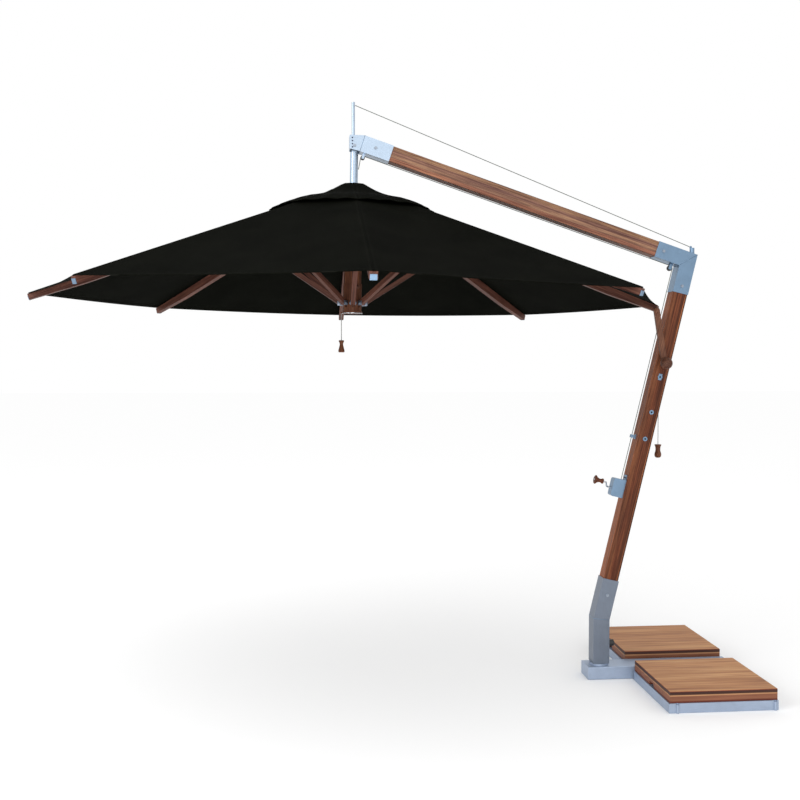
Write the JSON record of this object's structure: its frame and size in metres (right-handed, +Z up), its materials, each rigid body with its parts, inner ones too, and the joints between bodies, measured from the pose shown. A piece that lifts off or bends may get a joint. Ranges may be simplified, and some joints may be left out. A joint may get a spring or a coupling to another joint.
{
  "type": "cantilever patio umbrella",
  "caption": "Side-post patio umbrella: leaning timber mast on a swivel post, weighted base with timber covers, rising boom and an octagonal canopy that tilts and folds.",
  "frame": {"origin": "on the floor at the axis of the mast swivel", "axes": "+Z up; +X from the mast towards the base weights; the canopy hangs over -X"},
  "size_m": [3.9352, 3.5052, 3.244],
  "materials": {
    "frame_aluminium": "satin",
    "bracket_steel": "brushed",
    "bolt_steel": "bright",
    "frame_wood": "oiled",
    "cover_wood": "oiled",
    "slab_iron": "rough",
    "black_plastic": "matte",
    "canopy_fabric": "woven",
    "cord_fabric": "braided",
    "bush_plastic": "smooth"
  },
  "bodies": {
    "base": {"base_beam": "frame_aluminium", "swivel_spigot": "bracket_steel", "tray_frames": "frame_aluminium", "tray_bolts": "bolt_steel", "weight_slabs": "slab_iron"},
    "cover_front_body": {"cover_front": "cover_wood"},
    "cover_rear_body": {"cover_rear": "cover_wood"},
    "mast": {"mast_socket": "frame_aluminium", "swivel_bushes": "bush_plastic", "mast_timber": "frame_wood", "tilt_inserts": "bracket_steel", "elbow_bracket": "bracket_steel", "boom_timber": "frame_wood", "boom_end_sleeve": "frame_aluminium", "frame_bolts": "bolt_steel", "small_screws": "bolt_steel", "spur_rod": "bracket_steel", "stay_anchor": "bracket_steel", "stay_cable": "bolt_steel", "lift_cable": "cord_fabric", "cable_guide": "bracket_steel", "winch_housing": "bracket_steel", "mast_cord": "cord_fabric", "mast_toggle": "frame_wood"},
    "lock": {"lock_knob": "black_plastic"},
    "elbow_wheel": {"elbow_pulley": "black_plastic"},
    "end_wheel": {"boom_pulley": "black_plastic"},
    "crank": {"crank_arm": "bracket_steel", "winch_drum": "bracket_steel"},
    "crank_grip": {"crank_knob": "frame_wood"},
    "clamp": {"clamp_knob": "black_plastic"},
    "arm": {"stabiliser_arm": "frame_wood"},
    "hanger": {"hanger_tube": "bracket_steel", "upper_hub": "frame_wood", "canopy": "canopy_fabric", "vent_cap": "canopy_fabric"},
    "runner": {"lower_hub": "frame_wood", "pole_sleeve": "frame_wood", "lift_tube": "bracket_steel", "hub_cord": "cord_fabric", "hub_toggle": "frame_wood"},
    "latch": {"latch_knob": "frame_wood"},
    "rib_body_1": {"rib_1": "frame_wood"},
    "strut_body_1": {"strut_1": "frame_wood"},
    "rib_body_2": {"rib_2": "frame_wood"},
    "strut_body_2": {"strut_2": "frame_wood"},
    "rib_body_3": {"rib_3": "frame_wood"},
    "strut_body_3": {"strut_3": "frame_wood"},
    "rib_body_4": {"rib_4": "frame_wood"},
    "strut_body_4": {"strut_4": "frame_wood"},
    "rib_body_5": {"rib_5": "frame_wood"},
    "strut_body_5": {"strut_5": "frame_wood"},
    "rib_body_6": {"rib_6": "frame_wood"},
    "strut_body_6": {"strut_6": "frame_wood"},
    "rib_body_7": {"rib_7": "frame_wood"},
    "strut_body_7": {"strut_7": "frame_wood"},
    "rib_body_8": {"rib_8": "frame_wood"},
    "strut_body_8": {"strut_8": "frame_wood"}
  },
  "joints": [
    {"name": "mast_swivel", "type": "hinge", "parent": "base", "child": "mast", "pos_m": [0, 0, 0.084], "axis": [0, 0, 1], "continuous": true},
    {"name": "cover_front_lift", "type": "slide", "parent": "base", "child": "cover_front_body", "axis": [0, 0, 1], "range_m": [0, 0.12]},
    {"name": "cover_rear_lift", "type": "slide", "parent": "base", "child": "cover_rear_body", "axis": [0, 0, 1], "range_m": [0, 0.12]},
    {"name": "lock_knob_turn", "type": "hinge", "parent": "mast", "child": "lock", "pos_m": [0.06, 0, 0.192], "axis": [1, 0, 0], "continuous": true},
    {"name": "crank_turn", "type": "hinge", "parent": "mast", "child": "crank", "pos_m": [0.06209, 0, 1.09126], "axis": [-0.9724, 0, 0.2334], "continuous": true},
    {"name": "crank_knob_spin", "type": "hinge", "parent": "crank", "child": "crank_grip", "pos_m": [-0.03831, -0.09598, 1.14423], "axis": [-0.9724, 0, 0.2334], "continuous": true},
    {"name": "elbow_pulley_spin", "type": "hinge", "parent": "mast", "child": "elbow_wheel", "pos_m": [0.39806, 0, 2.3463], "axis": [0, 1, 0], "continuous": true},
    {"name": "boom_pulley_spin", "type": "hinge", "parent": "mast", "child": "end_wheel", "pos_m": [-1.36044, 0, 2.9389], "axis": [0, 1, 0], "continuous": true},
    {"name": "clamp_knob_turn", "type": "hinge", "parent": "mast", "child": "clamp", "pos_m": [0.351, -0.0575, 1.802], "axis": [0, -1, 0], "continuous": true},
    {"name": "arm_swing", "type": "hinge", "parent": "mast", "child": "arm", "pos_m": [0.351, -0.0575, 1.802], "axis": [0, 1, 0], "range_deg": [-40, 10]},
    {"name": "hanger_tilt", "type": "hinge", "parent": "mast", "child": "hanger", "pos_m": [-1.407, 0, 2.998], "axis": [0, 1, 0], "range_deg": [0, 15]},
    {"name": "runner_slide", "type": "slide", "parent": "hanger", "child": "runner", "axis": [-0.014, 0, -0.9999], "range_m": [0, 0.6611], "deforming": ["canopy", "vent_cap"]},
    {"name": "latch_pull", "type": "slide", "parent": "runner", "child": "latch", "axis": [0.3826, -0.9239, -0.0053], "range_m": [0, 0.008]},
    {"name": "rib_1_fold", "type": "hinge", "parent": "hanger", "child": "rib_body_1", "pos_m": [-1.34554, 0, 2.74392], "axis": [0, 1, 0], "range_deg": [0, 62.41]},
    {"name": "strut_1_fold", "type": "hinge", "parent": "rib_body_1", "child": "strut_body_1", "pos_m": [-0.79204, 0, 2.49188], "axis": [0, 1, 0], "range_deg": [-115.59, 0]},
    {"name": "rib_2_fold", "type": "hinge", "parent": "hanger", "child": "rib_body_2", "pos_m": [-1.36458, 0.04596, 2.74419], "axis": [-0.707, 0.7071, 0.0099], "range_deg": [0, 62.41]},
    {"name": "strut_2_fold", "type": "hinge", "parent": "rib_body_2", "child": "strut_body_2", "pos_m": [-0.97419, 0.4398, 2.49443], "axis": [-0.707, 0.7071, 0.0099], "range_deg": [-115.59, 0]},
    {"name": "rib_3_fold", "type": "hinge", "parent": "hanger", "child": "rib_body_3", "pos_m": [-1.41054, 0.065, 2.74483], "axis": [-0.9999, 0, 0.014], "range_deg": [0, 62.41]},
    {"name": "strut_3_fold", "type": "hinge", "parent": "rib_body_3", "child": "strut_body_3", "pos_m": [-1.41395, 0.62197, 2.50057], "axis": [-0.9999, 0, 0.014], "range_deg": [-115.59, 0]},
    {"name": "rib_4_fold", "type": "hinge", "parent": "hanger", "child": "rib_body_4", "pos_m": [-1.45649, 0.04596, 2.74547], "axis": [-0.707, -0.7071, 0.0099], "range_deg": [0, 62.41]},
    {"name": "strut_4_fold", "type": "hinge", "parent": "rib_body_4", "child": "strut_body_4", "pos_m": [-1.8537, 0.4398, 2.50671], "axis": [-0.707, -0.7071, 0.0099], "range_deg": [-115.59, 0]},
    {"name": "rib_5_fold", "type": "hinge", "parent": "hanger", "child": "rib_body_5", "pos_m": [-1.47553, 0, 2.74574], "axis": [0, -1, 0], "range_deg": [0, 62.41]},
    {"name": "strut_5_fold", "type": "hinge", "parent": "rib_body_5", "child": "strut_body_5", "pos_m": [-2.03586, 0, 2.50925], "axis": [0, -1, 0], "range_deg": [-115.59, 0]},
    {"name": "rib_6_fold", "type": "hinge", "parent": "hanger", "child": "rib_body_6", "pos_m": [-1.45649, -0.04596, 2.74547], "axis": [0.707, -0.7071, -0.0099], "range_deg": [0, 62.41]},
    {"name": "strut_6_fold", "type": "hinge", "parent": "rib_body_6", "child": "strut_body_6", "pos_m": [-1.8537, -0.4398, 2.50671], "axis": [0.707, -0.7071, -0.0099], "range_deg": [-115.59, 0]},
    {"name": "rib_7_fold", "type": "hinge", "parent": "hanger", "child": "rib_body_7", "pos_m": [-1.41054, -0.065, 2.74483], "axis": [0.9999, 0, -0.014], "range_deg": [0, 62.41]},
    {"name": "strut_7_fold", "type": "hinge", "parent": "rib_body_7", "child": "strut_body_7", "pos_m": [-1.41395, -0.62197, 2.50057], "axis": [0.9999, 0, -0.014], "range_deg": [-115.59, 0]},
    {"name": "rib_8_fold", "type": "hinge", "parent": "hanger", "child": "rib_body_8", "pos_m": [-1.36458, -0.04596, 2.74419], "axis": [0.707, 0.7071, -0.0099], "range_deg": [0, 62.41]},
    {"name": "strut_8_fold", "type": "hinge", "parent": "rib_body_8", "child": "strut_body_8", "pos_m": [-0.97419, -0.4398, 2.49443], "axis": [0.707, 0.7071, -0.0099], "range_deg": [-115.59, 0]}
  ],
  "couplings": [
    {"joint": "rib_1_fold", "follows": "runner_slide", "rad_per_m": 1.6474},
    {"joint": "strut_1_fold", "follows": "runner_slide", "rad_per_m": -3.0514},
    {"joint": "rib_2_fold", "follows": "runner_slide", "rad_per_m": 1.6474},
    {"joint": "strut_2_fold", "follows": "runner_slide", "rad_per_m": -3.0514},
    {"joint": "rib_3_fold", "follows": "runner_slide", "rad_per_m": 1.6474},
    {"joint": "strut_3_fold", "follows": "runner_slide", "rad_per_m": -3.0514},
    {"joint": "rib_4_fold", "follows": "runner_slide", "rad_per_m": 1.6474},
    {"joint": "strut_4_fold", "follows": "runner_slide", "rad_per_m": -3.0514},
    {"joint": "rib_5_fold", "follows": "runner_slide", "rad_per_m": 1.6474},
    {"joint": "strut_5_fold", "follows": "runner_slide", "rad_per_m": -3.0514},
    {"joint": "rib_6_fold", "follows": "runner_slide", "rad_per_m": 1.6474},
    {"joint": "strut_6_fold", "follows": "runner_slide", "rad_per_m": -3.0514},
    {"joint": "rib_7_fold", "follows": "runner_slide", "rad_per_m": 1.6474},
    {"joint": "strut_7_fold", "follows": "runner_slide", "rad_per_m": -3.0514},
    {"joint": "rib_8_fold", "follows": "runner_slide", "rad_per_m": 1.6474},
    {"joint": "strut_8_fold", "follows": "runner_slide", "rad_per_m": -3.0514},
    {"joint": "elbow_pulley_spin", "follows": "crank_turn", "ratio": 0.9231},
    {"joint": "boom_pulley_spin", "follows": "crank_turn", "ratio": 1.3333}
  ]
}
